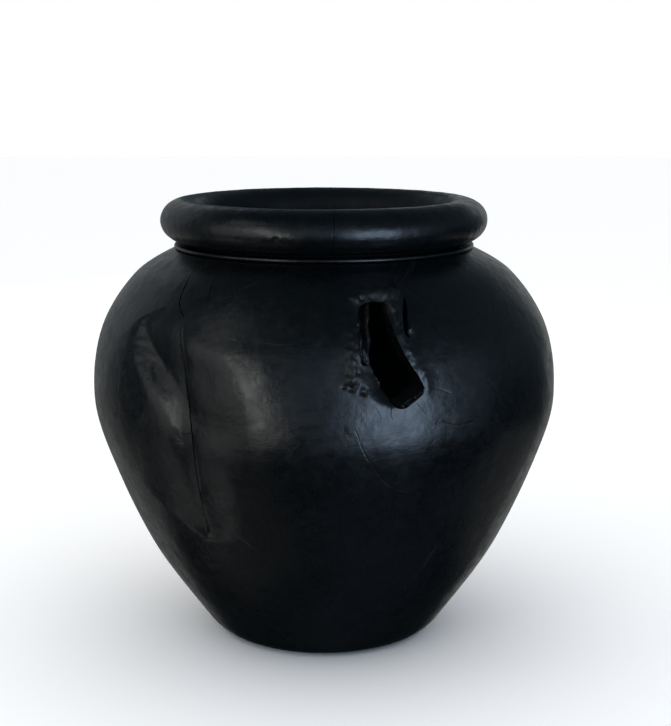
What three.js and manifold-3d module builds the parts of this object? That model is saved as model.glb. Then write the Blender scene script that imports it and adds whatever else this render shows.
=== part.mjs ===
// A squat black wooden pot, turned and hollowed from one length of trunk, with a rolled rim.
//
// The trunk wood is the body. Its foot is closed by a stepped plug, its neck is a short spigot that
// carries a thin bead and the thick rolled rim, and the core of a dead knot still stands in the
// knot hole through the shoulder. A long fold of ingrown bark runs down the front left.
//
// Millimetres, +Z up. The origin is the centre of the foot, and the front of the pot faces -Y.
// Azimuths are in degrees from the front, positive towards +X.

import * as THREE from 'three';
import { mergeVertices } from 'three/addons/utils/BufferGeometryUtils.js';
import Module from 'manifold-3d';

const wasm = await Module();
wasm.setup();

// Driving dimensions ---------------------------------------------------------------------------

const SEGMENTS = 72;            // facets round every turned piece
const GAP = 0.3;                // glue gap between touching pieces
const CLEAR = 1;                // how far a cut runs past the face it opens

const FOOT_FLAT_R = 60;         // flat part of the foot that rests on the table
const FOOT_TURN_R = 71.6;       // where the foot's roundness and the table would meet
const WALL = [                  // outside of the wall from foot to neck: [radius, height]
  [80, 12], [116, 66], [144.5, 134], [150, 170], [143, 207], [122, 238], [96, 254.2],
];
const SEAT_Z = WALL.at(-1)[1];  // ledge at the neck that the bead lies on
const HOLLOW = [                // inside of the wall from floor to neck
  [54, 24], [74, 34], [98, 68], [122, 130], [128, 168], [121, 203], [102, 229], [82, 243], [76, 252],
];

const SPIGOT_R = 88;            // neck spigot that the bead and rim sit on
const MOUTH_R = 76;             // inside of the neck
const SPIGOT_TOP = 269.7;

const BEAD_R = 96.8;            // thin half-round bead between shoulder and rim
const BEAD_H = 2.6;

const RIM_CENTRE_R = 90.2;      // the rolled rim's section is an ellipse
const RIM_CENTRE_Z = 272;
const RIM_HALF_WIDTH = 15.1;
const RIM_HALF_HEIGHT = 13.5;

const FLOOR_Z = 24;             // top of the floor inside
const PLUG_R = 45;              // wide step of the plug, flush with the foot
const PLUG_STEP_Z = 10;
const PLUG_NECK_R = 35;         // narrow step that closes the floor

const FOLD = {                  // leaf-shaped fold of ingrown bark
  low: 91, high: 230,           // heights of its two ends
  azimuth: -32.6,               // the crease at half height
  lean: 6.3, foot: 0.9,         // degrees that it leans left by at its top, and at its foot
  face: 31.5,                   // the sunk face to the crease's left, degrees wide
  bank: 15,                     // the bank that climbs out again to its right, degrees wide
  depth: 9,
};

const KNOT_AZIMUTH = 15.5;      // the knot hole slants across the shoulder
const KNOT_HOLE = [             // its mouth, seen straight on: [across, height]
  [-14, 233], [-9, 235], [-3, 235.6], [1.4, 234], [1.4, 228], [4.6, 215], [7, 208.3], [10.5, 202],
  [14.7, 195], [17, 189], [15.5, 185], [10.6, 181.5], [4.8, 179], [0, 180], [-3.6, 184],
  [-6.7, 190], [-9.6, 197.5], [-13, 202], [-17.5, 203], [-18.8, 211], [-17.6, 220], [-16, 228],
];
const KNOT_CORE = [             // the dead wood left standing on its left side
  [-13, 231.5], [-9, 233], [-5.5, 230], [-8, 222], [-7.5, 215], [-9.5, 206], [-12.5, 203.5],
  [-16.5, 204.5], [-17.6, 211], [-16.4, 220], [-14.8, 227.5],
];
const KNOT_CUT = [96, 170];     // radii that the cut runs between
const CORE_CUT = [118, 160];    // radii that the core's prism runs between
const CORE_SUNK = 6;            // how far the core lies below the wall's surface
const SLIT = { azimuth: 20.6, low: 219, high: 236, width: 2, radii: [122, 150] };

// Helpers --------------------------------------------------------------------------------------

const point = ([r, z]) => new THREE.Vector2(r, z);
const radians = THREE.MathUtils.degToRad;

// A curve as points, without its first one when it continues another.
function trace(curve, steps, skipFirst = false) {
  return curve.getPoints(steps).slice(skipFirst ? 1 : 0);
}

// A profile turned about Z. It starts and ends on the axis, or is closed on itself here.
function turned(profile) {
  const onAxis = profile[0].x === 0;
  const closed = onAxis ? profile : [...profile, profile[0]];
  return new THREE.LatheGeometry(closed, SEGMENTS).rotateX(Math.PI / 2);
}

function toManifold(geometry) {
  const bare = geometry.clone();
  bare.deleteAttribute('normal');
  bare.deleteAttribute('uv');
  const merged = mergeVertices(bare, 1e-4);
  return new wasm.Manifold(new wasm.Mesh({
    numProp: 3,
    vertProperties: new Float32Array(merged.attributes.position.array),
    triVerts: new Uint32Array(merged.index.array),
  }));
}

function toGeometry(solid) {
  const { vertProperties, triVerts } = solid.getMesh();
  const geometry = new THREE.BufferGeometry();
  geometry.setAttribute('position', new THREE.BufferAttribute(vertProperties, 3));
  geometry.setIndex(new THREE.BufferAttribute(triVerts, 1));
  geometry.computeVertexNormals();
  return geometry;
}

// A prism of a closed outline, standing out of the wall from one radius to another.
function radialPrism(outline, azimuth, [inner, outer]) {
  const shape = new THREE.Shape(outline.map(point));
  const geometry = new THREE.ExtrudeGeometry(shape, {
    depth: outer - inner, bevelEnabled: false,
  });
  geometry.rotateX(Math.PI / 2);          // outline's height becomes Z, extrusion becomes -Y
  geometry.translate(0, -inner, 0);
  geometry.rotateZ(radians(azimuth));
  return geometry;
}

function piece(name, geometry, color, roughness) {
  const material = new THREE.MeshStandardMaterial({ color, roughness, metalness: 0 });
  const mesh = new THREE.Mesh(geometry, material);
  mesh.name = name;
  return mesh;
}

// The fold: how far the surface is pushed in at an azimuth and a height ---------------------------

function foldDepth(azimuth, z) {
  const s = (2 * z - FOLD.high - FOLD.low) / (FOLD.high - FOLD.low);
  if (Math.abs(s) >= 1) return 0;
  const taper = 1 - s * s;
  const crease = FOLD.azimuth - FOLD.lean * Math.max(s, 0) - FOLD.foot * Math.max(-s, 0);
  const deep = FOLD.depth * taper ** 0.6;
  if (azimuth < crease) {
    const face = FOLD.face * taper ** (s > 0 ? 0.5 : 0.9);      // arched above, pointed below
    const across = Math.min((crease - azimuth) / face, 1);
    return deep * (1 - across ** 1.3);
  }
  return deep * Math.max(1 - (azimuth - crease) / FOLD.bank, 0);
}

function pushInFold(geometry) {
  const position = geometry.attributes.position;
  for (let i = 0; i < position.count; i += 1) {
    const x = position.getX(i);
    const y = position.getY(i);
    const r = Math.hypot(x, y);
    if (r < FOOT_FLAT_R) continue;
    const azimuth = THREE.MathUtils.radToDeg(Math.atan2(x, -y));
    const scale = (r - foldDepth(azimuth, position.getZ(i))) / r;
    position.setXY(i, x * scale, y * scale);
  }
  return geometry;
}

// Pieces ---------------------------------------------------------------------------------------

// The whole outside of the wood, foot to spigot, with the fold pushed in.
function woodOutside() {
  const foot = new THREE.QuadraticBezierCurve(
    point([FOOT_FLAT_R, 0]), point([FOOT_TURN_R, 0]), point(WALL[0]),
  );
  const wall = new THREE.SplineCurve(WALL.map(point));
  return pushInFold(turned([
    point([0, 0]), ...trace(foot, 3), ...trace(wall, 24, true),
    point([SPIGOT_R, SEAT_Z]), point([SPIGOT_R, SPIGOT_TOP]), point([0, SPIGOT_TOP]),
  ]));
}

// Everything that is hollowed out of it: the plug's stepped recess, the hollow and the mouth.
function woodInside() {
  const hollow = new THREE.SplineCurve(HOLLOW.map(point));
  return turned([
    point([0, -CLEAR]), point([PLUG_R, -CLEAR]), point([PLUG_R, PLUG_STEP_Z]),
    point([PLUG_NECK_R, PLUG_STEP_Z]), point([PLUG_NECK_R, FLOOR_Z]),
    ...trace(hollow, 14),
    point([MOUTH_R, SPIGOT_TOP + CLEAR]), point([0, SPIGOT_TOP + CLEAR]),
  ]);
}

// A narrow drying check in the shoulder beside the knot.
function slit() {
  const { azimuth, low, high, width, radii: [inner, outer] } = SLIT;
  const box = new THREE.BoxGeometry(width, outer - inner, high - low);
  box.translate(0, -(inner + outer) / 2, (low + high) / 2);
  return box.rotateZ(radians(azimuth));
}

function bodyShell() {
  const solid = toManifold(woodOutside())
    .subtract(toManifold(woodInside()))
    .subtract(toManifold(radialPrism(KNOT_HOLE, KNOT_AZIMUTH, KNOT_CUT)))
    .subtract(toManifold(slit()));
  return piece('body_shell', toGeometry(solid), 0x0c1114, 0.34);
}

// The core follows the wall's own surface, a little below it.
function knotCore() {
  const back = radians(KNOT_AZIMUTH);
  const sunk = woodOutside().translate(-CORE_SUNK * Math.sin(back), CORE_SUNK * Math.cos(back), 0);
  const solid = toManifold(radialPrism(KNOT_CORE, KNOT_AZIMUTH, CORE_CUT)).intersect(toManifold(sunk));
  return piece('knot_core', toGeometry(solid), 0x07090b, 0.5);
}

// A thin half-round ring lying on the shoulder, round the spigot.
function neckBead() {
  const low = SEAT_Z + GAP;
  const half = BEAD_H / 2;
  const nose = new THREE.EllipseCurve(
    BEAD_R - half, low + half, half, half, -Math.PI / 2, Math.PI / 2,
  );
  const inner = SPIGOT_R + GAP;
  return piece('neck_bead', turned([
    point([inner, low]), ...trace(nose, 4), point([inner, low + BEAD_H]),
  ]), 0x14191d, 0.3);
}

// The roll is an ellipse, rebated underneath so that it drops over the spigot.
function rimRing() {
  const socketR = SPIGOT_R + GAP;
  const socketTop = SPIGOT_TOP + GAP;
  const start = -Math.acos((socketR - RIM_CENTRE_R) / RIM_HALF_WIDTH);
  const end = Math.PI + Math.asin((RIM_CENTRE_Z - socketTop) / RIM_HALF_HEIGHT);
  const roll = new THREE.EllipseCurve(
    RIM_CENTRE_R, RIM_CENTRE_Z, RIM_HALF_WIDTH, RIM_HALF_HEIGHT, start, end,
  );
  return piece('rim_ring', turned([
    ...trace(roll, 16), point([socketR, socketTop]),
  ]), 0x0e1418, 0.32);
}

// A stepped disc let into the foot from below, which closes the heart of the trunk.
function floorPlug() {
  return piece('floor_plug', turned([
    point([0, 0]), point([PLUG_R - GAP, 0]), point([PLUG_R - GAP, PLUG_STEP_Z - GAP]),
    point([PLUG_NECK_R - GAP, PLUG_STEP_Z - GAP]), point([PLUG_NECK_R - GAP, FLOOR_Z]),
    point([0, FLOOR_Z]),
  ]), 0x0a0d10, 0.5);
}

const pot = new THREE.Group();
pot.add(bodyShell(), floorPlug(), neckBead(), rimRing(), knotCore());

export default pot;
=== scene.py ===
import math

import bmesh
import bpy
import numpy as np
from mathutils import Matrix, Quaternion, Vector, noise


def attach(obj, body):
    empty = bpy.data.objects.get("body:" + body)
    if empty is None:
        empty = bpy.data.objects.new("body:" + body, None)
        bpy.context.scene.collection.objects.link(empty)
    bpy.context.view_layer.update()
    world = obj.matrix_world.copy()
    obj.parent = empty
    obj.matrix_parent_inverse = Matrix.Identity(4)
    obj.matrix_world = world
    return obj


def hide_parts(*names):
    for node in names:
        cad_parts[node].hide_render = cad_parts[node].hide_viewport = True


# The looks of a squat black wooden pot with a rolled rim, turned from one length of trunk.
# Shapes are worked out in millimetres about the turning axis and scaled to metres at the end.
# Azimuths are in degrees from the front (-Y), positive towards +X; heights are above the foot.

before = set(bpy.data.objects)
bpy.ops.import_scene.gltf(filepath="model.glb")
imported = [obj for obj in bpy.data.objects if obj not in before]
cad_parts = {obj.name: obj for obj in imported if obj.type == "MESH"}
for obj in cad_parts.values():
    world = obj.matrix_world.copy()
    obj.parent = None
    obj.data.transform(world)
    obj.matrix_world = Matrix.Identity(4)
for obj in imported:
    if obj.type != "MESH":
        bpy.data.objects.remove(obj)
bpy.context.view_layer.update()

MM = 0.001
SMOOTH_BELOW = 38                   # edges that bend by less than this many degrees look round

# The turned outline, the same as the CAD part's: (radius, height).
FOOT_FLAT_R = 60
FOOT_TURN_R = 71.6
WALL = [(80, 12), (116, 66), (144.5, 134), (150, 170), (143, 207), (122, 238), (96, 254.2)]
HOLLOW = [
    (54, 24), (74, 34), (98, 68), (122, 130), (128, 168), (121, 203), (102, 229), (82, 243), (76, 252),
]
SEAT_Z = WALL[-1][1]
SPIGOT_R = 88
MOUTH_R = 76
SPIGOT_TOP = 269.7
FLOOR_Z = 24
PLUG_R = 45
PLUG_STEP_Z = 10
PLUG_NECK_R = 35
GAP = 0.3

# The fold of ingrown bark. Widths across it are in degrees from its crease.
FOLD_LOW, FOLD_HIGH = 91, 230       # heights of its two ends
CREASE_AZIMUTH = -32.3
CREASE_LEAN, CREASE_FOOT = 6.5, 0.9  # how far it leans left at its top, and at its foot
CREASE_BEND = 0.15                  # how gently the lean sets in, as a share of half its height
FACE_WIDTH = 31.5                   # the sunk face left of the crease
FACE_SLOPE, FACE_BACK = 5, 4        # its even slope, and its rise again towards the crease
STEP_LOW, STEP_MORE = 4.5, 3.0      # the steep band across it, deeper towards the top
BAND_HALF = 0.18                    # half the band's width, as a share of the face's
BAND_START = 0.07                   # where the band starts beside the crease, in the same share
RIB_DEPTH, RIB_END = 3.5, 8.4       # the rib right of the crease: its depth, and where it ends
RIB_WIDER = 2.2                     # the rib is this much wider below the middle
BANK_SLOPE, BANK_END = 0.62, 16.2   # the bank beyond it: millimetres per degree, and its end
SHORTER_ABOVE = 4                   # the rib and the bank both end this much sooner at the top
BEND, LIP_BEND = 0.7, 1.6           # how rounded the rib's end and the bank's end are
CREASE_WALL = 0.9                   # width of the little wall between the face and the rib

KNOT_AZIMUTH = 15.5


# Outlines ---------------------------------------------------------------------------------------

def spans(points, per_span):
    """Uniform Catmull-Rom curve from the second point to the last but one, without its end."""
    t = np.linspace(0, 1, per_span, endpoint=False)[:, None]
    made = []
    for p0, p1, p2, p3 in zip(points, points[1:], points[2:], points[3:]):
        v0, v1 = (p2 - p0) / 2, (p3 - p1) / 2
        cubic = (2 * p1 - 2 * p2 + v0 + v1) * t**3
        square = (3 * p2 - 3 * p1 - 2 * v0 - v1) * t**2
        made.append(cubic + square + v0 * t + p1)
    return np.vstack(made)


def spline(points, per_span=40):
    """The smooth curve through the points that the CAD part uses too."""
    p = np.array(points, float)
    return np.vstack([spans(np.vstack([p[0], p, p[-1]]), per_span), p[-1:]])


def bezier(a, b, c, steps=12):
    a, b, c = np.array(a, float), np.array(b, float), np.array(c, float)
    t = np.linspace(0, 1, steps)[:, None]
    return (1 - t) ** 2 * a + 2 * (1 - t) * t * b + t**2 * c


def respace(curve, spacing):
    """The curve again, with points spacing(point) apart along it."""
    mid = (curve[1:] + curve[:-1]) / 2
    steps = np.hypot(*np.diff(curve, axis=0).T)
    weight = np.concatenate([[0], np.cumsum(steps / spacing(mid))])
    wanted = np.linspace(0, weight[-1], int(math.ceil(weight[-1])) + 1)
    return np.column_stack([np.interp(wanted, weight, curve[:, k]) for k in (0, 1)])


def outward(curve):
    """Unit normals of an outline that runs upward with its material on the axis side."""
    d = np.gradient(curve, axis=0)
    n = np.column_stack([d[:, 1], -d[:, 0]])
    return n / np.linalg.norm(n, axis=1)[:, None]


def smoothstep(x, low=0.0, high=1.0):
    t = np.clip((x - low) / (high - low), 0, 1)
    return t * t * (3 - 2 * t)


# Meshes -----------------------------------------------------------------------------------------

def place(radius, azimuth, z):
    a = np.radians(azimuth)
    return np.stack([radius * np.sin(a), -radius * np.cos(a), z], axis=-1)


def grid_mesh(name, points, close_rows=True):
    """A closed skin over rows x columns of points in millimetres; the columns close on themselves."""
    rows, cols = points.shape[:2]
    index = np.arange(rows * cols).reshape(rows, cols)
    below = index if close_rows else index[:-1]
    above = np.roll(index, -1, axis=0) if close_rows else index[1:]
    quads = np.stack([below, np.roll(below, -1, 1), np.roll(above, -1, 1), above], axis=-1)
    faces = quads.reshape(-1, 4).tolist()
    if not close_rows:
        faces += [index[0][::-1].tolist(), index[-1].tolist()]
    return new_mesh(name, points.reshape(-1, 3), faces)


def new_mesh(name, points, faces):
    mesh = bpy.data.meshes.new(name)
    mesh.from_pydata((np.asarray(points) * MM).tolist(), [], faces)
    turn_outward(mesh)
    shade(mesh)
    obj = bpy.data.objects.new(name, mesh)
    bpy.context.scene.collection.objects.link(obj)
    return obj


def shade(mesh):
    mesh.shade_smooth()
    mesh.set_sharp_from_angle(angle=math.radians(SMOOTH_BELOW))


def turn_outward(mesh):
    solid = bmesh.new()
    solid.from_mesh(mesh)
    if solid.calc_volume(signed=True) < 0:
        bmesh.ops.reverse_faces(solid, faces=solid.faces[:])
        solid.to_mesh(mesh)
    solid.free()


def apply_booleans(obj, others, operation):
    for other in others:
        modifier = obj.modifiers.new("boolean", "BOOLEAN")
        modifier.operation = operation
        modifier.solver = "MANIFOLD"
        modifier.object = other
    graph = bpy.context.evaluated_depsgraph_get()
    mesh = bpy.data.meshes.new_from_object(obj.evaluated_get(graph))
    obj.modifiers.clear()
    obj.data = mesh
    shade(mesh)
    for other in others:
        bpy.data.objects.remove(other)


def cut(obj, cutters):
    apply_booleans(obj, cutters, "DIFFERENCE")


def trim(obj, keeper):
    """Keeps only what lies inside keeper."""
    apply_booleans(obj, [keeper], "INTERSECT")


def noise_at(points, scale, seed, stretch=(1, 1, 1), octaves=3):
    """Smooth noise, about -1 to 1, at points in millimetres; scale is the size of its lumps."""
    p = points * np.array(stretch) / scale + seed * 7.31
    flat = p.reshape(-1, 3)
    values = np.array([noise.fractal(Vector(v), 0.9, 2.1, octaves) for v in flat])
    return values.reshape(points.shape[:-1])


def ride(obj, node, slot, *materials):
    obj.data.materials.clear()
    for material in materials:
        obj.data.materials.append(material)
    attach(obj, "root")
    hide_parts(node)


# The wood body ------------------------------------------------------------------------------------

def crease_at(s):
    """The crease's azimuth at a height in the fold, from -1 at its foot to 1 at its top."""
    lean = CREASE_LEAN * soft_ramp(s, CREASE_BEND)
    return CREASE_AZIMUTH - lean - CREASE_FOOT * np.clip(-s, 0, 1)


def fold_height(z):
    return np.clip((2 * z - FOLD_HIGH - FOLD_LOW) / (FOLD_HIGH - FOLD_LOW), -1, 1)


def face_band(s):
    """Where the steep band crosses the sunk face, as a share of its width from the crease."""
    return np.minimum(BAND_START + np.clip(s, 0, 1) ** 1.5, 1 - BAND_HALF)


def soft_ramp(x, soft):
    """Zero before x = 0 and x after it, with the bend between rounded."""
    return soft * np.logaddexp(0, np.clip(x / soft, -50, 50))


def face_depth(u, s):
    """How deep the sunk face is at a share u of its width from the crease."""
    band = face_band(s)
    step = STEP_LOW * smoothstep(s, -0.8, 0) + STEP_MORE * smoothstep(s, 0, 0.55)
    steep = step * (1 - smoothstep(u, band - BAND_HALF, band + BAND_HALF))
    even = (1 - np.maximum(u, band)) ** 2 / (1.08 - np.maximum(u, band))
    return FACE_SLOPE * even + steep - FACE_BACK * np.clip(band - u, 0, 1)


def face_share(azimuth, s):
    taper = 1 - s * s
    face = FACE_WIDTH * np.where(s > 0, taper**0.5, taper**0.9) + 1e-6
    return np.clip((crease_at(s) - azimuth) / face, 0, 1)


def bank_depth(v, s):
    """Right of the crease: a flat rib, and above the middle a steeper bank beyond it."""
    shorter = SHORTER_ABOVE * np.clip(s, 0, 1)
    end = RIB_END - shorter + RIB_WIDER * smoothstep(-s, 0, 0.4)
    lip = BANK_END - shorter
    rib = RIB_DEPTH * (1 - 0.6 * smoothstep(s, 0.1, 0.7)) * soft_ramp(end - v, BEND) / end
    bank = BANK_SLOPE * (soft_ramp(lip - v, LIP_BEND) - soft_ramp(end - v, BEND))
    return rib + bank * smoothstep(s, -0.45, 0.1) * smoothstep(s, 0.8, 0.45)


def fold_depth(azimuth, z):
    """How far the ingrown bark pulls the surface in: a sunk face left of the crease, and right
    of it a rib and a bank that climb back to the wall."""
    s = fold_height(z)
    fade = np.where(s > 0, smoothstep(1 - s * s, 0, 0.85), (1 - s * s) ** 0.4)
    v = np.clip(azimuth - crease_at(s), 0, None)
    foot = np.clip((z - FOLD_LOW) / (6 + 12 * np.clip(v / RIB_END, 0, 1) ** 2), 0, 1)
    ends = np.where(s > 0, fade, 1 - (1 - foot) ** 2)
    left = face_depth(face_share(azimuth, s), s) * fade
    right = bank_depth(v, s) * ends
    wall = face_depth(0 * s, s) * fade - bank_depth(0 * s, s) * ends
    right = right + wall * np.exp(-v / CREASE_WALL) * smoothstep(foot, 0.4, 1)
    return np.where(azimuth < crease_at(s), left, right)


def fold_wrinkles(azimuth, z):
    """Creases of dried bark in the steep band and along its foot."""
    s = fold_height(z)
    u = face_share(azimuth, s)
    near = np.exp(-(((u - face_band(s)) / 0.22) ** 2))
    near = near * smoothstep(s, -0.7, 0.1) * smoothstep(s, 0.97, 0.8)
    near = near * smoothstep(u, 0.0, 0.06) * smoothstep(u, 1, 0.85)
    across = azimuth * 2.5
    along = np.stack([across * 0.75 + z * 0.65, (across * 0.65 - z * 0.75) * 0.4, 0 * z], axis=-1)
    level = np.stack([across * 0.35, z + across * 0.25, 0 * z], axis=-1)
    folds = 0.5 * noise_at(level, 5, 23, octaves=2) * smoothstep(s, 0.35, 0.65)
    broad = 0.32 * noise_at(along, 8, 21, octaves=2)
    fine = 0.15 * noise_at(along, 3.5, 22, octaves=2)
    return near * (broad + fine + folds)


COLUMNS = 330
PLAIN_DENSITY = 0.42                # how close together the columns are where the wall is plain


def body_columns():
    """Azimuths of the mesh's columns, close together at the knot, the fold and its crease."""
    a = np.linspace(-180, 180, 7201)
    density = PLAIN_DENSITY + 2.6 * smoothstep(np.abs(a - 14.5), 13, 10)
    density = np.maximum(density, PLAIN_DENSITY + 1.5 * smoothstep(np.abs(a + 37), 33, 28))
    density = density + 1.6 * np.exp(-((a + 30.5) / 3.0) ** 2)
    total = np.concatenate([[0], np.cumsum((density[1:] + density[:-1]) / 2 * np.diff(a))])
    return np.interp(np.arange(COLUMNS) / COLUMNS * total[-1], total, a)


def row_spacing(points):
    """Distance between the mesh's rows: close at the fold, closest at the knot."""
    z = points[:, 1]
    fine = smoothstep(z, 168, 178) * smoothstep(z, 246, 242)
    middle = smoothstep(z, 80, 92)
    return 4.0 - 2.2 * middle - 1.05 * fine


def swell_at(points):
    """The slow unevenness that hand scraping leaves."""
    z = points[..., 2]
    return 0.25 * noise_at(points, 55, 3, octaves=2) * smoothstep(z, 2, 20) * smoothstep(z, 252, 240)


def body_mesh():
    foot = bezier((FOOT_FLAT_R, 0), (FOOT_TURN_R, 0), WALL[0])
    outside = respace(np.vstack([foot[:-1], spline(WALL)]), row_spacing)
    inside = respace(spline(HOLLOW), lambda p: np.full(len(p), 6.0))[::-1]
    azimuth = body_columns()
    normal = outward(outside)
    a = np.broadcast_to(azimuth, (len(outside), len(azimuth)))
    r = np.broadcast_to(outside[:, :1], a.shape)
    z = np.broadcast_to(outside[:, 1:], a.shape)
    out = swell_at(place(r, a, z)) + knot_relief(a, z) + fold_wrinkles(a, z)
    r = r - fold_depth(a, z) + normal[:, :1] * out
    z = z + normal[:, 1:] * out
    skin = place(r, a, z)
    plain = np.array(
        [(SPIGOT_R, SEAT_Z), (SPIGOT_R, SPIGOT_TOP), (MOUTH_R, SPIGOT_TOP), *inside.tolist(),
         (PLUG_NECK_R, FLOOR_Z), (PLUG_NECK_R, PLUG_STEP_Z), (PLUG_R, PLUG_STEP_Z), (PLUG_R, 0)]
    )
    rest = place(plain[:, :1] + 0 * azimuth, azimuth + 0 * plain[:, :1], plain[:, 1:] + 0 * azimuth)
    return grid_mesh("wood_body", np.concatenate([skin, rest]))


# The knot hole ------------------------------------------------------------------------------------
# Across and up, in millimetres, seen straight on at the knot's azimuth.

KNOT_MOUTH = [
    (-14, 233), (-9, 235), (-3, 235.6), (1.4, 234), (1.4, 228), (4.6, 215), (7, 208.3), (10.5, 202),
    (14.7, 195), (17, 189), (15.5, 185), (10.6, 181.5), (4.8, 179), (0, 180), (-3.6, 184), (-6.7, 190),
    (-9.6, 197.5), (-13, 202), (-17.5, 203), (-18.8, 211), (-17.6, 220), (-16, 228),
]
MOUTH_LIP = 1.1                     # how far the hole's edge is eased back at the surface
TORN_DEPTH = 5.6                    # the wood inside the hole is torn from this deep on
CORE_LOW, CORE_HIGH = 194, 238      # heights that the core runs between
CORE_LEFT, CORE_BACK = -23, 21      # its left side, and how deep its back lies
CORE_GAP = 0.35                     # between the core and the sides of the hole
CORE_EDGE = [(-4, 238), (-5.5, 230), (-8, 222), (-7.5, 215), (-9.5, 206), (-8.5, 196)]
SLIT_LINE = [(14.2, 237.5), (13, 232), (11.8, 228), (10.6, 222), (10.2, 218.5), (12.2, 216)]

# Burrs that swell out round the hole: (across, up, half width, half height, rise).
BURRS = [
    (-20.5, 219, 3.2, 8, 0.9), (-22.5, 206, 5, 7, 2.0), (-24, 196, 4.5, 4.5, 1.4),
    (-14.5, 237.5, 4, 2.8, 1.9), (-8, 239, 4.5, 3, 2.4), (0, 239.6, 4, 3.2, 2.0),
    (6.5, 240, 4.2, 3.4, 2.5), (5.8, 231, 2.8, 7, 1.8),
    (7.2, 222, 2.6, 6, 1.6), (13.6, 221, 2, 2.4, 1.8), (9.8, 213, 2.5, 5, 1.1), (11.5, 206, 2.6, 3, 1.0),
    (16.5, 198.5, 2.6, 4, 0.9), (19.5, 191, 2.8, 5, 0.8),
]
PITS = [                            # (across, up, radius, depth)
    (-28, 191.5, 1.5, 1.2), (-24.4, 190.6, 2.3, 1.4), (-21.8, 192.2, 1.3, 1.0), (-17.8, 188.6, 2.2, 1.7),
    (-26, 198.5, 1.6, 0.9), (-20.5, 199, 1.4, 0.9), (-12, 236.4, 1.2, 1.4), (-6.5, 237, 1.1, 1.3),
    (2, 236.8, 1.2, 1.4), (7.8, 235.4, 1.2, 1.2),
]
RAMP_WIDTH, RAMP_DEPTH = 11, 5      # the smooth hollow that slopes into the hole's lower left
KNOT_REACH = (165, 250)             # heights that the gnarled wood keeps between


def outside_radius(z):
    curve = spline(WALL)
    return np.interp(z, curve[:, 1], curve[:, 0])


def closed_curve(points, count):
    """A smooth closed outline through the points, evenly spaced."""
    p = np.array(points, float)
    dense = spans(np.vstack([p, p[:3]]), 24)
    loop = np.vstack([dense, dense[:1]])
    length = np.concatenate([[0], np.cumsum(np.hypot(*np.diff(loop, axis=0).T))])
    s = np.linspace(0, length[-1], count, endpoint=False)
    return np.column_stack([np.interp(s, length, loop[:, k]) for k in (0, 1)])


def mound(u, v, spot):
    """A soft round mound: 1 at the spot's centre, 0 well outside it."""
    return np.exp(-(((u - spot[0]) / spot[2]) ** 2 + ((v - spot[1]) / spot[3]) ** 2))


def knot_relief(azimuth, z):
    """How far the gnarled wood round the knot hole stands out."""
    u = outside_radius(z) * np.sin(np.radians(azimuth - KNOT_AZIMUTH))
    low, high = KNOT_REACH
    near = (np.abs(azimuth - KNOT_AZIMUTH) < 20) & (z > low) & (z < high)
    relief = np.zeros(u.shape)
    u, v = u[near], z[near]
    here = np.stack([u, v, 0 * u], axis=-1)
    edge = closed_curve(KNOT_MOUTH, 160)
    gap = np.sqrt(((here[:, None, :2] - edge[None]) ** 2).sum(-1)).min(1)
    knobs = noise_at(here, 5.2, 5, octaves=2)
    small = noise_at(here, 3.0, 6, octaves=2)
    swell = sum(spot[4] * mound(u, v, spot) for spot in BURRS)
    gnarl = np.clip(swell, 0, 1.4)
    pu, pv = u + 1.1 * small, v + 0.9 * knobs
    pits = 0
    for x, y, r, depth in PITS:
        pits = pits + depth * np.exp(-((pu - x) ** 2 + (pv - y) ** 2) / (0.7 * r * r))
    hole_left = np.interp(v, [180, 184, 190, 197.5, 202], [0, -3.6, -6.7, -9.6, -13])
    ramp = np.clip((u - hole_left) / RAMP_WIDTH + 1, 0, 1) ** 1.4
    ramp = RAMP_DEPTH * ramp * smoothstep(v, 176, 191) * smoothstep(v, 206, 198) * smoothstep(u, 4, -2)
    relief[near] = (swell + gnarl * (0.6 * knobs + 0.3 * small)
                    + 0.15 * knobs * np.exp(-((gap / 9) ** 2)) - pits - ramp)
    return relief


def from_knot(u, v, depth):
    """Points at a depth under the wall, from across-and-up positions at the knot."""
    w = np.sqrt(np.maximum(outside_radius(v) ** 2 - u**2, 1)) - depth
    a = math.radians(KNOT_AZIMUTH)
    return np.stack([u * math.cos(a) + w * math.sin(a), u * math.sin(a) - w * math.cos(a), v], axis=-1)


def knot_cutter(inset=0.0):
    """The knot hole's rough sides, opening out a little at the surface."""
    outline = closed_curve(KNOT_MOUTH, 300)
    edge = np.roll(outline, -1, 0) - np.roll(outline, 1, 0)
    side = np.column_stack([edge[:, 1], -edge[:, 0]])
    side /= np.linalg.norm(side, axis=1)[:, None]
    u, v = outline.T
    side *= np.sign(np.sum(u * np.roll(v, -1) - v * np.roll(u, -1)))
    eased = 0.3 + 0.7 * smoothstep(v, 200, 184)
    depths = [-7, -3, -1, 0, 0.25, 0.6, 1.1, 1.8, 2.6, 3.6, 5, 7, 9, 11, 13, 15, 18, 22, 27, 33, 40]
    rings = []
    for depth in depths:
        lip = MOUTH_LIP * math.exp(-max(depth, 0) / 0.9) * eased
        here = np.column_stack([outline, np.full(len(outline), max(depth, 0) * 0.8)])
        rough = noise_at(here, 4.2, 11, octaves=3) * (0.35 + 0.75 * smoothstep(depth, 0.3, 2.5))
        rough = np.clip(rough, -1.2, 1.2)
        grown = outline + side * (lip + rough - inset)[:, None]
        rings.append(from_knot(grown[:, 0], grown[:, 1], depth))
    return grid_mesh("knot_cutter", np.array(rings), close_rows=False)


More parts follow.
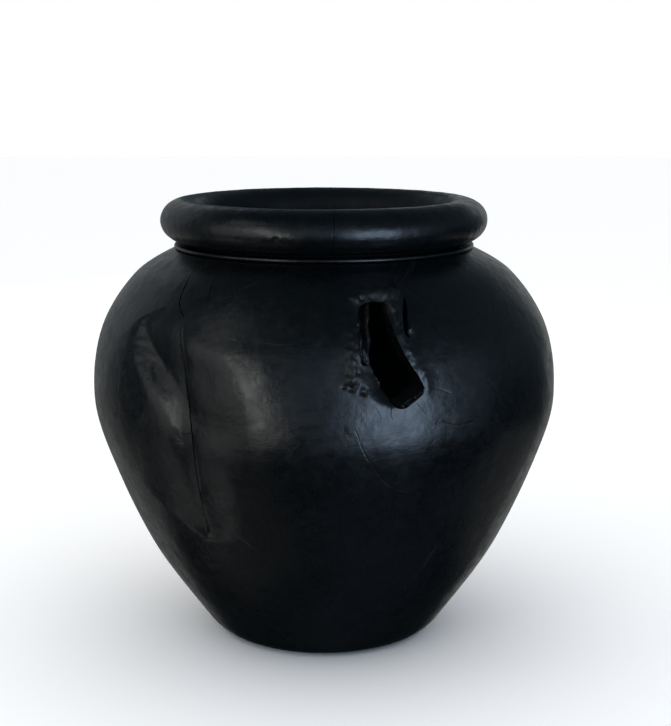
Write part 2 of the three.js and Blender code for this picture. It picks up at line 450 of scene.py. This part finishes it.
def knot_core():
    """The dead knot's core: a torn, knobbly face that slopes into the hole."""
    v = np.linspace(CORE_LOW, CORE_HIGH, 74)[:, None]
    edge = np.array(CORE_EDGE[::-1], float)
    right = np.interp(v, edge[:, 1], edge[:, 0])
    t = np.linspace(0, 1, 34)[None, :]
    u = CORE_LEFT + (right - CORE_LEFT) * t
    v = v + 0 * u
    here = np.stack([u, v, 0 * u], axis=-1)
    knobs = noise_at(here, 4.0, 31, octaves=3)
    splinters = noise_at(here, 2.6, 32, stretch=(1.6, 0.35, 1), octaves=2)
    crest = np.exp(-(((t - 0.8) / 0.17) ** 2)) * (0.85 + 0.35 * knobs) * smoothstep(v, 203, 217)
    depth = 3.0 + 8.5 * smoothstep(t, 0.15, 0.7) - 8.5 * crest + 1.1 * knobs + 0.7 * splinters
    depth = depth + 5 * smoothstep(t, 0.93, 1.0)
    front = from_knot(u, v, depth)
    back_u = np.linspace(1, 0, 8)[None, :] * (right - CORE_LEFT) + CORE_LEFT
    back = from_knot(back_u + 0 * v[:, :1], v[:, :1] + 0 * back_u, CORE_BACK + 0 * back_u)
    core = grid_mesh("knot_heart", np.concatenate([front, back], axis=1), close_rows=False)
    trim(core, knot_cutter(inset=CORE_GAP))
    return core


# Checks and scratches -----------------------------------------------------------------------------
# Lines on the wall: (azimuth, height) points, width and depth in millimetres.

CHECKS = [
    ([(-46.2, 247), (-43.5, 240), (-41.9, 232), (-40.2, 228), (-37.3, 223.5)], 0.75, 3.0),
    ([(-35.0, 246), (-33.4, 239), (-31.3, 232)], 0.3, 0.5),
    ([(14.7, 181), (14.5, 177), (14.8, 172)], 0.4, 0.8),
    ([(11.0, 180.5), (11.9, 176), (12.4, 172)], 0.3, 0.5),
    ([(20.3, 181), (21.6, 177), (23.0, 173)], 0.3, 0.5),
]
SCRATCHES = [                       # hardly deeper than the wax
    ([(6.7, 167), (8.2, 156), (10.1, 147), (13.2, 136), (17.1, 129), (23.1, 125)], 0.8, 0.10),
    ([(8.5, 153), (11.5, 143), (13.9, 133)], 0.5, 0.08),
    ([(5.2, 129.5), (5.0, 125), (5.3, 120)], 0.7, 0.10),
    ([(-11.5, 130), (-11.2, 126), (-11.7, 121)], 0.7, 0.10),
    ([(-26, 217), (-23.5, 215.5), (-21, 214.8)], 0.6, 0.10),
    ([(-14, 214), (-10, 213.5), (-5, 214.2)], 0.6, 0.08),
    ([(24.0, 188), (26.5, 187), (29.0, 184)], 0.5, 0.08),
    ([(27, 168), (31, 165), (36, 166)], 0.5, 0.08),
    ([(38, 190), (41, 186), (43, 180)], 0.5, 0.08),
]
CREASE_CHECK = (0.8, 1.8)           # width and depth of the crack along the fold's crease
CHECK_OUT, SCRATCH_OUT = 2.0, 0.12  # how far their cutters stand out of the wall
SLIT_WIDTH, SLIT_DEPTH, SLIT_OUT = 2.7, 10.0, 3.5
RIM_CHECK_WIDTH, RIM_CHECK_DEPTH, RIM_CHECK_OUT = 0.42, 1.0, 1.5
RIM_CHECK_AZIMUTH = 3.2


def groove_cutter(points, normals, width, depth, out):
    """A wedge along a line of surface points, fading out at both ends."""
    steps = np.linalg.norm(np.diff(points, axis=0), axis=1)
    t = np.concatenate([[0], np.cumsum(steps)]) / steps.sum()
    along = np.gradient(points, axis=0)
    side = np.cross(normals, along)
    side /= np.linalg.norm(side, axis=1)[:, None]
    fade = (0.06 + np.clip(4 * t * (1 - t), 0, 1) ** 0.5)[:, None]
    half = width / 2 * fade * (1 + out / depth)
    foot = points - normals * depth * fade
    top = points + normals * out
    point = side * 0.02
    rows = np.stack([top + side * half, top - side * half, foot - point, foot + point], axis=1)
    return grid_mesh("groove", rows, close_rows=False)


def crease_line():
    """Points down the fold's crease, just inside its right side."""
    return [(crease_at(fold_height(z)) + 0.2, z) for z in range(222, 98, -12)]


def wall_line_cutter(line, width, depth, out):
    """A cutter for a line on the wall, over its swells, the knot's relief and the fold."""
    dense = spline(line, per_span=8)
    wander = 0.12 * noise_at(np.column_stack([dense, dense[:, :1] * 0]), 3, 41, octaves=2)
    azimuth, z = dense[:, 0] + wander, dense[:, 1]
    curve = spline(WALL)
    normal = outward(curve)
    nr, nz = (np.interp(z, curve[:, 1], normal[:, k]) for k in (0, 1))
    a = np.radians(azimuth)
    normals = np.column_stack([nr * np.sin(a), -nr * np.cos(a), nz])
    points = place(outside_radius(z), azimuth, z)
    stands = swell_at(points) + knot_relief(azimuth, z)
    points = points + normals * stands[:, None]
    points = points - place(fold_depth(azimuth, z), azimuth, 0 * z)
    return groove_cutter(points, normals, width, depth, out)


def mark_torn_faces(mesh):
    """The second material goes on the torn wood in the knot hole, and on the neck's bare spigot."""
    centre = np.empty(len(mesh.polygons) * 3)
    mesh.polygons.foreach_get("center", centre)
    x, y, z = (centre.reshape(-1, 3) / MM).T
    azimuth, under = np.degrees(np.arctan2(x, -y)), outside_radius(z) - np.hypot(x, y)
    torn = (np.abs(azimuth - KNOT_AZIMUTH) < 14) & (z > 168) & (z < 246) & (under > TORN_DEPTH)
    spigot = (z > SEAT_Z + 0.1) & (np.hypot(x, y) > (MOUTH_R + SPIGOT_R) / 2)
    mesh.polygons.foreach_set("material_index", (torn | spigot).astype(int))


def slit_cutter():
    """The narrow dark split beside the knot hole."""
    line = spline(SLIT_LINE, per_span=5)
    points = from_knot(line[:, 0], line[:, 1], 0)
    a = math.radians(KNOT_AZIMUTH + 6)
    normals = np.tile([math.sin(a), -math.cos(a), 0.35], (len(points), 1))
    normals /= np.linalg.norm(normals, axis=1)[:, None]
    return groove_cutter(points, normals, SLIT_WIDTH, SLIT_DEPTH, SLIT_OUT)


def rim_check_cutter():
    """The drying check down the front of the rolled rim."""
    t = np.radians(np.linspace(-72, 62, 30))
    section = rim_section(t)
    azimuth = RIM_CHECK_AZIMUTH + 0.25 * noise_at(np.column_stack([section, 0 * t]), 6, 51, octaves=3)
    a = np.radians(azimuth)
    nr, nz = np.cos(t) / RIM_HALF_WIDTH, np.sin(t) / RIM_HALF_HEIGHT
    normals = np.column_stack([nr * np.sin(a), -nr * np.cos(a), nz])
    normals /= np.linalg.norm(normals, axis=1)[:, None]
    points = place(section[:, 0], azimuth, section[:, 1])
    return groove_cutter(points, normals, RIM_CHECK_WIDTH, RIM_CHECK_DEPTH, RIM_CHECK_OUT)


# Materials ----------------------------------------------------------------------------------------

WALL_RADIUS = 0.14                  # turns azimuth into metres along the wall for the scratches


def node(tree, kind, inputs=None, **settings):
    made = tree.nodes.new("ShaderNode" + kind)
    for key, value in settings.items():
        setattr(made, key, value)
    for key, value in (inputs or {}).items():
        if isinstance(value, bpy.types.NodeSocket):
            tree.links.new(value, made.inputs[key])
        else:
            made.inputs[key].default_value = value
    return made


def stretched_noise(tree, coords, scale, turn=(0, 0, 0), detail=3.0, rough=0.55):
    """Noise drawn out along some axes: a small number in scale makes long marks."""
    turned = node(tree, "Mapping", {"Vector": coords, "Rotation": [math.radians(v) for v in turn]})
    drawn = node(tree, "Mapping", {"Vector": turned.outputs["Vector"], "Scale": scale})
    made = node(tree, "TexNoise", {
        "Vector": drawn.outputs["Vector"], "Scale": 1.0, "Detail": detail, "Roughness": rough,
    })
    return made.outputs["Fac"]


def remap(tree, value, low, high, to_low=0.0, to_high=1.0):
    made = node(tree, "MapRange", {
        "Value": value, "From Min": low, "From Max": high, "To Min": to_low, "To Max": to_high,
    })
    return made.outputs["Result"]


def maths(tree, operation, a, b):
    made = node(tree, "Math", operation=operation)
    for socket, value in zip(made.inputs, (a, b)):
        if isinstance(value, bpy.types.NodeSocket):
            tree.links.new(value, socket)
        else:
            socket.default_value = value
    return made.outputs["Value"]


def unrolled(tree, coords):
    """Positions on the wall as if it were unrolled flat: along the girth, and up."""
    axis = node(tree, "SeparateXYZ", {"Vector": coords}).outputs
    around = maths(tree, "ARCTAN2", axis["X"], maths(tree, "MULTIPLY", axis["Y"], -1))
    flat = node(tree, "CombineXYZ", {"X": maths(tree, "MULTIPLY", around, WALL_RADIUS), "Y": axis["Z"]})
    return flat.outputs["Vector"]


def scratch_lines(tree, flat, turn, fine, long):
    """Sparse thin lines: the middle of a drawn-out noise, kept only where a slower noise allows."""
    lines = stretched_noise(tree, flat, (fine, long, 1), (0, 0, turn), detail=0.0)
    where = stretched_noise(tree, flat, (60, 14, 1), (0, 0, turn), detail=0.0)
    ridge = remap(tree, maths(tree, "ABSOLUTE", maths(tree, "SUBTRACT", lines, 0.5), 0), 0.02, 0.0)
    return maths(tree, "MULTIPLY", ridge, remap(tree, where, 0.62, 0.78))


def stained_wood(name, roughness=0.31, turned=True, torn=False, dull_spots=(), chatter=False):
    """Black-stained, waxed wood with scraper marks, rubbed patches and fine scratches.

    Turned wood has lathe lines, and chatter adds the tool's small ripples. Torn wood hardly shines.
    A dull spot is (centre, near, far, more): rougher by more within near, fading out at far.
    """
    material = bpy.data.materials.new(name)
    material.use_nodes = True
    tree = material.node_tree
    shader = tree.nodes["Principled BSDF"]
    shader.inputs["IOR"].default_value = 1.5
    shader.inputs["Specular IOR Level"].default_value = 0.12 if torn else 0.5
    coords = tree.nodes.new("ShaderNodeTexCoord").outputs["Object"]

    grain = stretched_noise(tree, coords, (420, 420, 14), detail=5)
    patches = stretched_noise(tree, coords, (26, 26, 22), detail=4)
    mottle = stretched_noise(tree, coords, (150, 150, 150), detail=3, rough=0.6)
    lathe = stretched_noise(tree, coords, (6, 6, 900), detail=2)
    scrape = stretched_noise(tree, coords, (40, 40, 160), (12, 8, 0), detail=3)
    flat = unrolled(tree, coords)
    scratches = [scratch_lines(tree, flat, turn, 300, 5) for turn in (25, 68, -50)]
    scratched = maths(tree, "MAXIMUM", maths(tree, "MAXIMUM", scratches[0], scratches[1]), scratches[2])

    stain = node(tree, "ValToRGB", {"Fac": patches})
    stain.color_ramp.elements[0].position, stain.color_ramp.elements[1].position = 0.3, 0.75
    stain.color_ramp.elements[0].color = (0.0004, 0.0011, 0.0016, 1)
    stain.color_ramp.elements[1].color = (0.0011, 0.0018, 0.0022, 1)
    worn = maths(tree, "MULTIPLY", remap(tree, grain, 0.5, 0.8), remap(tree, mottle, 0.5, 0.75, 0, 0.6))
    rubbed = node(tree, "Mix", {"Factor": worn}, data_type="RGBA")
    tree.links.new(stain.outputs["Color"], rubbed.inputs["A"])
    rubbed.inputs["B"].default_value = (0.005, 0.0052, 0.0046, 1)
    marked = node(tree, "Mix", {"Factor": maths(tree, "MULTIPLY", scratched, 0.1)}, data_type="RGBA")
    tree.links.new(rubbed.outputs["Result"], marked.inputs["A"])
    marked.inputs["B"].default_value = (0.035, 0.04, 0.045, 1)
    tree.links.new(marked.outputs["Result"], shader.inputs["Base Color"])

    rough = maths(tree, "ADD", remap(tree, patches, 0.3, 0.7, roughness - 0.04, roughness + 0.05),
                  remap(tree, mottle, 0.35, 0.7, -0.05, 0.07))
    rough = maths(tree, "ADD", rough, maths(tree, "MULTIPLY", scratched, 0.08))
    for centre, near, far, more in dull_spots:
        reach = node(tree, "VectorMath", {0: coords, 1: centre}, operation="DISTANCE").outputs["Value"]
        rough = maths(tree, "ADD", rough, remap(tree, reach, near, far, more, 0))
    tree.links.new(rough, shader.inputs["Roughness"])

    heights = [(patches, 0.0011), (mottle, 0.00016), (scrape, 0.00022)]
    if turned:
        heights.append((lathe, 0.00003))
    heights.append((grain, 0.00003))
    if chatter:
        ripples = stretched_noise(tree, coords, (210, 210, 330), (0, 25, 0), detail=1)
        heights.append((ripples, 0.0001))
    normal = None
    for height, distance in heights:
        bump = node(tree, "Bump", {"Height": height, "Strength": 1.0, "Distance": distance})
        if normal is not None:
            tree.links.new(normal, bump.inputs["Normal"])
        normal = bump.outputs["Normal"]
    tree.links.new(normal, shader.inputs["Normal"])
    return material


# Ring, bead, plug, core ---------------------------------------------------------------------------

RIM_CENTRE_R, RIM_CENTRE_Z = 90.2, 272
RIM_HALF_WIDTH, RIM_HALF_HEIGHT = 15.1, 13.5
BEAD_R, BEAD_H = 96.8, 2.6
NICK_AZIMUTH, NICK_Z = -15.5, 269


def rim_section(t):
    """Points round the rolled rim's ellipse, as (radius, height)."""
    r = RIM_CENTRE_R + RIM_HALF_WIDTH * np.cos(t)
    z = RIM_CENTRE_Z + RIM_HALF_HEIGHT * np.sin(t)
    return np.column_stack([r, z])


def turned_mesh(name, profile, columns=360, relief=None):
    azimuth = np.linspace(-180, 180, columns, endpoint=False)
    p = np.array(profile, float)
    points = place(p[:, :1] + 0 * azimuth, azimuth + 0 * p[:, :1], p[:, 1:] + 0 * azimuth)
    if relief is not None:
        points = relief(points)
    return grid_mesh(name, points)


def uneven_rim(points):
    """Scraper marks and a small nick leave the rim a little uneven."""
    centre = points * [1, 1, 0]
    centre *= RIM_CENTRE_R / np.linalg.norm(centre, axis=-1, keepdims=True)
    centre += [0, 0, RIM_CENTRE_Z]
    out = points - centre
    out /= np.linalg.norm(out, axis=-1, keepdims=True)
    past_spigot = np.hypot(points[..., 0], points[..., 1]) - SPIGOT_R - GAP
    shown = smoothstep(past_spigot, 0.5, 3) + smoothstep(points[..., 2], 276, 280)
    wave = 0.13 * noise_at(points, 30, 61, octaves=2) + 0.10 * noise_at(points, 9, 62, octaves=2)
    nick = place(RIM_CENTRE_R + RIM_HALF_WIDTH, NICK_AZIMUTH, NICK_Z)
    dent = 0.7 * np.exp(-(((points - nick) / [1.1, 3, 1.6]) ** 2).sum(-1))
    return points + out * ((wave - dent) * np.clip(shown, 0, 1))[..., None]


def rim_mesh():
    socket_r, socket_top = SPIGOT_R + GAP, SPIGOT_TOP + GAP
    start = -math.acos((socket_r - RIM_CENTRE_R) / RIM_HALF_WIDTH)
    end = math.pi + math.asin((RIM_CENTRE_Z - socket_top) / RIM_HALF_HEIGHT)
    t = np.linspace(start, end, 90)
    profile = [*rim_section(t).tolist(), (socket_r, socket_top)]
    rim = turned_mesh("rolled_rim", profile, columns=600, relief=uneven_rim)
    cut(rim, [rim_check_cutter()])
    return rim


def bead_mesh():
    low, half = SEAT_Z + GAP, BEAD_H / 2
    t = np.linspace(-math.pi / 2, math.pi / 2, 12)
    nose = np.column_stack([BEAD_R - half + half * np.cos(t), low + half + half * np.sin(t)])
    inner = SPIGOT_R + GAP
    return turned_mesh("neck_bead_ring", [(inner, low), *nose.tolist(), (inner, low + BEAD_H)])


def plug_mesh():
    """The stepped plug under the floor, its edges just broken."""
    wide, neck, ease = PLUG_R - GAP, PLUG_NECK_R - GAP, 0.4
    step = PLUG_STEP_Z - GAP
    profile = [
        (0.01, 0), (wide - ease, 0), (wide, ease), (wide, step - ease), (wide - ease, step), (neck, step),
        (neck, FLOOR_Z - ease), (neck - ease, FLOOR_Z), (0.01, FLOOR_Z),
    ]
    return turned_mesh("foot_plug", profile, columns=120)


# Camera, stage and light ---------------------------------------------------------------------------

CAMERA_DISTANCE = 0.95
CAMERA_HEIGHT = 0.3606
CAMERA_PITCH = 10.96
CAMERA_YAW = 0.449
LENS, SENSOR_WIDTH = 72.73, 36
PANEL_DISTANCE = 1.6
PANEL_AIM = 0.19
BLUE, WARM = (0.7, 0.93, 1.25), (1.0, 1.02, 0.98)

# The softboxes: (name, azimuth, elevation, width, height, radiance, colour, lean). Angles are in
# degrees, and width and height are angles too.
PANELS = [
    ("window", 33, -3, 31, 34, 4.0, BLUE, 0),
    ("lamp", -37, 2, 16, 43, 2.7, WARM, 20),
    ("left_wall", -64, 4, 30, 44, 0.56, WARM, 0),
    ("lamp_high", -64, 42, 14, 20, 0.8, WARM, 0),
    ("right_wall", 64, 2, 34, 40, 0.17, BLUE, 0),
    ("front_wall", 0, 12, 36, 40, 0.22, BLUE, 0),
    ("back_left", -140, 0, 60, 80, 0.22, WARM, 0),
    ("back_right", 159, -8, 40, 58, 0.34, WARM, 0),
    ("right_low", 112, -32, 30, 26, 0.10, WARM, 0),
    ("left_low", -76, -38, 22, 24, 0.34, WARM, 0),
    ("under_left", -62, -58, 40, 22, 0.08, WARM, 0),
    ("under_right", 50, -62, 50, 24, 0.05, BLUE, 0),
]
# What the wax mirrors of the dim room, from straight down (0) to straight up (1): (place, light).
ROOM_LIGHT = [
    (0.0, 0.06), (0.015, 0.03), (0.06, 0.012), (0.4, 0.03), (0.6, 0.11), (0.75, 0.09), (0.93, 0.05),
    (1.0, 0.04),
]
ROOM_TINT = (0.75, 1, 1.25)
OVERHEAD_STRENGTH, OVERHEAD_SPREAD = 3.2, 120


def add_camera():
    data = bpy.data.cameras.new("camera")
    data.lens = LENS
    data.sensor_width = SENSOR_WIDTH
    camera = bpy.data.objects.new("camera", data)
    bpy.context.scene.collection.objects.link(camera)
    camera.location = (0, -CAMERA_DISTANCE, CAMERA_HEIGHT)
    camera.rotation_euler = (math.radians(90 - CAMERA_PITCH), 0, math.radians(-CAMERA_YAW))
    bpy.context.scene.camera = camera


def softbox(name, azimuth, elevation, width, height, radiance, colour, lean):
    """A soft panel facing the pot. Width and height are the angles it fills, seen from the pot,
    and lean turns it about the line to the pot."""
    data = bpy.data.lights.new(name, "AREA")
    data.shape = "RECTANGLE"
    data.size = 2 * PANEL_DISTANCE * math.tan(math.radians(width / 2))
    data.size_y = 2 * PANEL_DISTANCE * math.tan(math.radians(height / 2))
    data.color = colour
    data.energy = radiance * math.pi * data.size * data.size_y
    light = bpy.data.objects.new(name, data)
    bpy.context.scene.collection.objects.link(light)
    a, e = math.radians(azimuth), math.radians(elevation)
    away = Vector((math.sin(a) * math.cos(e), -math.cos(a) * math.cos(e), math.sin(e)))
    light.location = Vector((0, 0, PANEL_AIM)) + away * PANEL_DISTANCE
    light.rotation_mode = "QUATERNION"
    roll = Quaternion((0, 0, 1), math.radians(lean))
    light.rotation_quaternion = away.to_track_quat("Z", "Y") @ roll
    light.visible_camera = False


def add_stage():
    bpy.ops.mesh.primitive_plane_add(size=12, location=(0, 0, 0))
    floor = bpy.context.object
    floor.name = "floor"
    material = bpy.data.materials.new("pale_floor")
    material.use_nodes = True
    shader = material.node_tree.nodes["Principled BSDF"]
    shader.inputs["Base Color"].default_value = (0.9, 0.9, 0.9, 1)
    shader.inputs["Roughness"].default_value = 0.9
    shader.inputs["Specular IOR Level"].default_value = 0
    floor.data.materials.append(material)
    floor.visible_glossy = False
    floor.visible_shadow = False


def add_overhead():
    """Even light from above that lifts the floor and the wood's own colour. The wax doesn't mirror it."""
    data = bpy.data.lights.new("overhead", "SUN")
    data.energy = OVERHEAD_STRENGTH
    data.angle = math.radians(OVERHEAD_SPREAD)
    light = bpy.data.objects.new("overhead", data)
    bpy.context.scene.collection.objects.link(light)
    light.visible_glossy = False


def add_world():
    """White behind the pot; what the wax mirrors is a dim room, lightest a little above the horizon."""
    world = bpy.data.worlds.new("studio")
    bpy.context.scene.world = world
    world.use_nodes = True
    tree = world.node_tree
    background = tree.nodes["Background"]
    direction = tree.nodes.new("ShaderNodeTexCoord")
    split = tree.nodes.new("ShaderNodeSeparateXYZ")
    ramp = tree.nodes.new("ShaderNodeMapRange")
    ramp.inputs["From Min"].default_value = -1
    room = tree.nodes.new("ShaderNodeValToRGB")
    while len(room.color_ramp.elements) < len(ROOM_LIGHT):
        room.color_ramp.elements.new(0.5)
    for element, (at, level) in zip(room.color_ramp.elements, ROOM_LIGHT):
        element.position = at
        element.color = (*(tint * level for tint in ROOM_TINT), 1)
    path = tree.nodes.new("ShaderNodeLightPath")
    mix = tree.nodes.new("ShaderNodeMix")
    mix.data_type = "RGBA"
    mix.inputs["B"].default_value = (1, 1, 1, 1)
    tree.links.new(direction.outputs["Generated"], split.inputs["Vector"])
    tree.links.new(split.outputs["Z"], ramp.inputs["Value"])
    tree.links.new(ramp.outputs["Result"], room.inputs["Fac"])
    tree.links.new(room.outputs["Color"], mix.inputs["A"])
    tree.links.new(path.outputs["Is Camera Ray"], mix.inputs["Factor"])
    tree.links.new(mix.outputs["Result"], background.inputs["Color"])


# The scene ----------------------------------------------------------------------------------------

BURR_SPOTS = [(-4.0, 238.0), (-24.0, 201.0)]        # across and up at the knot; the burrs are dull
BURR_DULL = (0.009, 0.019, 0.2)
MOUTH_DULL = ((0, 0, 0.262), 0.079, 0.086, 0.34)    # the inside of the mouth isn't polished


def add_body():
    body = body_mesh()
    checks = [*CHECKS, (crease_line(), *CREASE_CHECK)]
    lines = [wall_line_cutter(*check, CHECK_OUT) for check in checks]
    lines += [wall_line_cutter(*scratch, SCRATCH_OUT) for scratch in SCRATCHES]
    cut(body, [knot_cutter(), slit_cutter(), *lines])
    spots = [(tuple(from_knot(u, v, 0.0) * MM), *BURR_DULL) for u, v in BURR_SPOTS]
    torn = stained_wood("torn_wood", roughness=0.75, turned=False, torn=True)
    ride(body, "body_shell", "body_wood", stained_wood("body_wood", dull_spots=spots), torn)
    mark_torn_faces(body.data)


def add_small_pieces():
    rim = stained_wood("rim_wood", dull_spots=[MOUTH_DULL], chatter=True)
    ride(rim_mesh(), "rim_ring", "rim_wood", rim)
    ride(bead_mesh(), "neck_bead", "bead_wood", stained_wood("bead_wood", roughness=0.3))
    ride(plug_mesh(), "floor_plug", "plug_wood", stained_wood("plug_wood", roughness=0.5))
    core = stained_wood("knot_wood", roughness=0.5, turned=False)
    ride(knot_core(), "knot_core", "knot_wood", core)


add_body()
add_small_pieces()
add_camera()
add_stage()
add_world()
for panel in PANELS:
    softbox(*panel)
add_overhead()
bpy.context.scene.view_settings.view_transform = "Standard"
